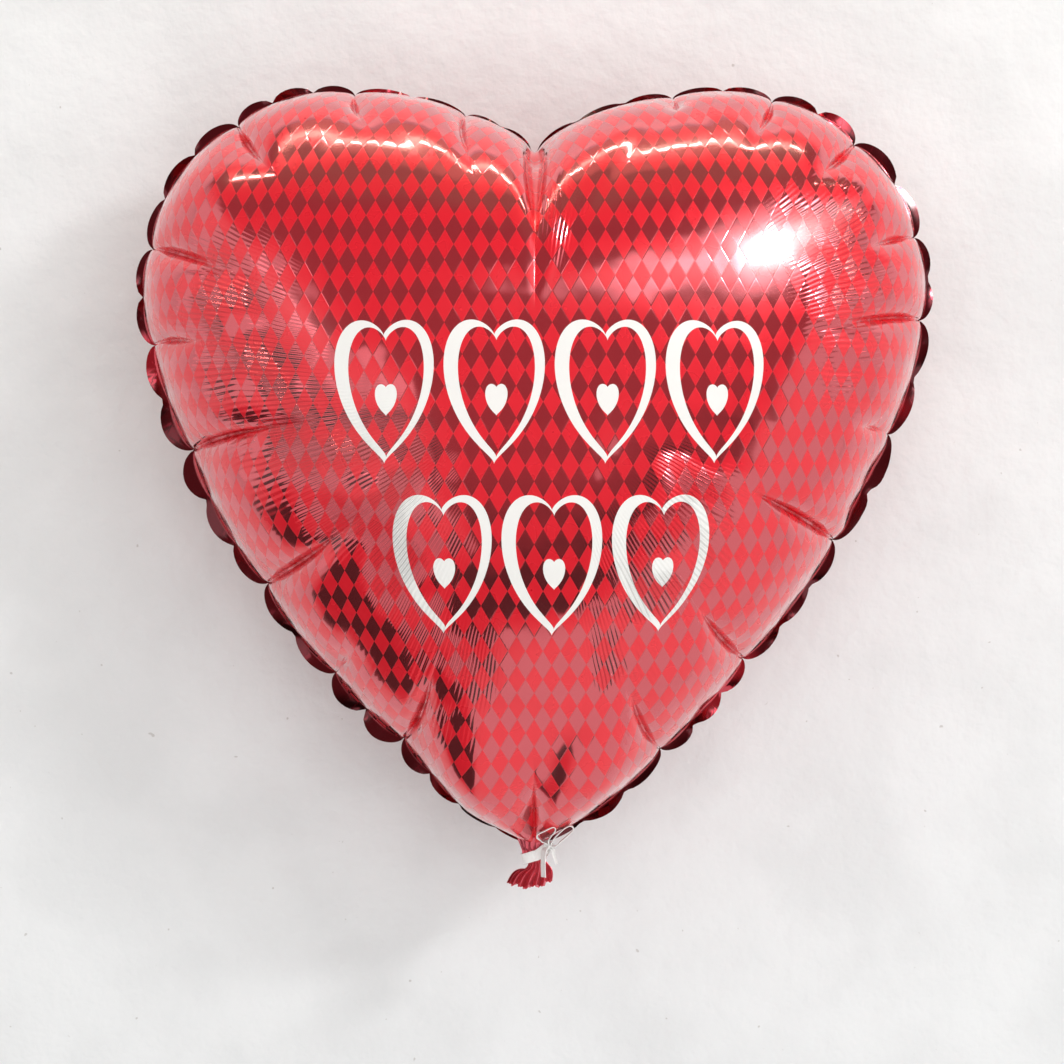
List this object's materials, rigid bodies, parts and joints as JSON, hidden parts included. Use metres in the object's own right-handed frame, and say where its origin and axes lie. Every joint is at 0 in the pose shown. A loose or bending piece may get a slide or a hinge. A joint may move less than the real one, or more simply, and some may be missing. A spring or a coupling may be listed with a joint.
{
  "type": "foil balloon",
  "caption": "Heart-shaped foil balloon, inflated: two welded film panels with a puckered rim, a tied neck with a short tail, an inner valve and a white ribbon.",
  "frame": {"origin": "middle of the ribbon tie on the balloon's neck", "axes": "+Z from the tie up to the notch, X across the heart, -Y out of the printed front; the panels meet at the plane y = 0"},
  "size_m": [0.3792, 0.176, 0.3791],
  "materials": {
    "red_foil": "metallised film, mirror bright, printed with a small diamond pattern",
    "valve_film": "clear polyethylene film",
    "white_ribbon": "satin curling ribbon"
  },
  "bodies": {
    "envelope": {"front_panel": "red_foil", "back_panel": "red_foil", "valve_front_ply": "valve_film", "valve_back_ply": "valve_film", "neck": "red_foil", "ribbon_band": "white_ribbon", "ribbon_knot": "white_ribbon", "ribbon_loop_left": "white_ribbon", "ribbon_loop_right": "white_ribbon", "ribbon_end_long": "white_ribbon", "ribbon_end_short": "white_ribbon"},
    "tail": {"tail_front": "red_foil", "tail_back": "red_foil"}
  },
  "joints": [
    {"name": "tail_swing", "type": "hinge", "parent": "envelope", "child": "tail", "pos_m": [0.00145, 0, -0.00541], "axis": [0.9659, 0, 0.2588], "range_deg": [-20, 70]}
  ]
}
